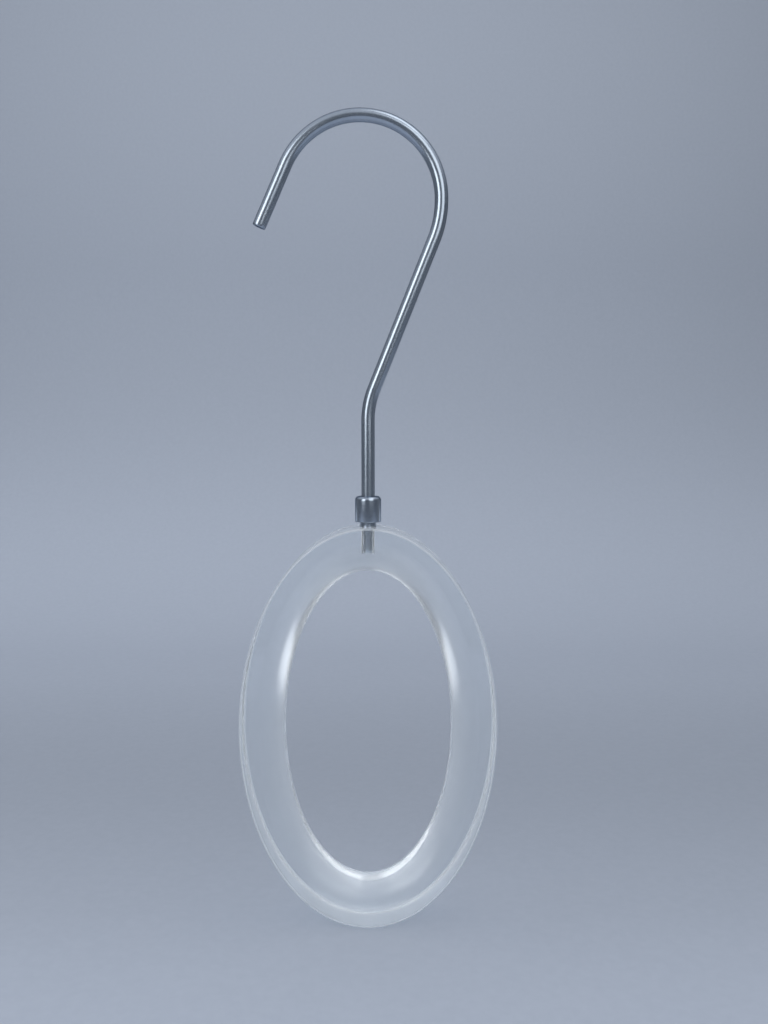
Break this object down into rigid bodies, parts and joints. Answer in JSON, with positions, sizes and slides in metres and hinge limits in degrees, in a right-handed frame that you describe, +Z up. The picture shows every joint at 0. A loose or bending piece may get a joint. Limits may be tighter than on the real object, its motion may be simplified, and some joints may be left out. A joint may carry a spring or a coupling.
{
  "type": "scarf hanger",
  "caption": "Thick clear acrylic oval ring on a long bent steel wire hook that swivels in a small turned collar; a scarf is drawn through the ring.",
  "frame": {"origin": "the hook's seat: the inside of the bend at its highest point, which lies on the rail", "axes": "+Z up, against gravity when hung and parallel to the stem; +Y square to the ring's flat faces, along the rail; +X towards the side where the wire comes down, away from the hook's open tip"},
  "size_m": [0.0875, 0.018, 0.276],
  "materials": {
    "clear_acrylic": "polished, clear, colourless",
    "turned_steel": "turned, satin",
    "satin_wire": "drawn wire, satin to bright"
  },
  "bodies": {
    "hook": {"hook": "satin_wire"},
    "ring": {"ring": "clear_acrylic", "stud": "turned_steel", "collar": "turned_steel"}
  },
  "joints": [
    {"name": "hook_swivel", "type": "hinge", "parent": "hook", "child": "ring", "pos_m": [0.00256, 0, -0.1244], "axis": [0, 0, 1], "continuous": true}
  ]
}
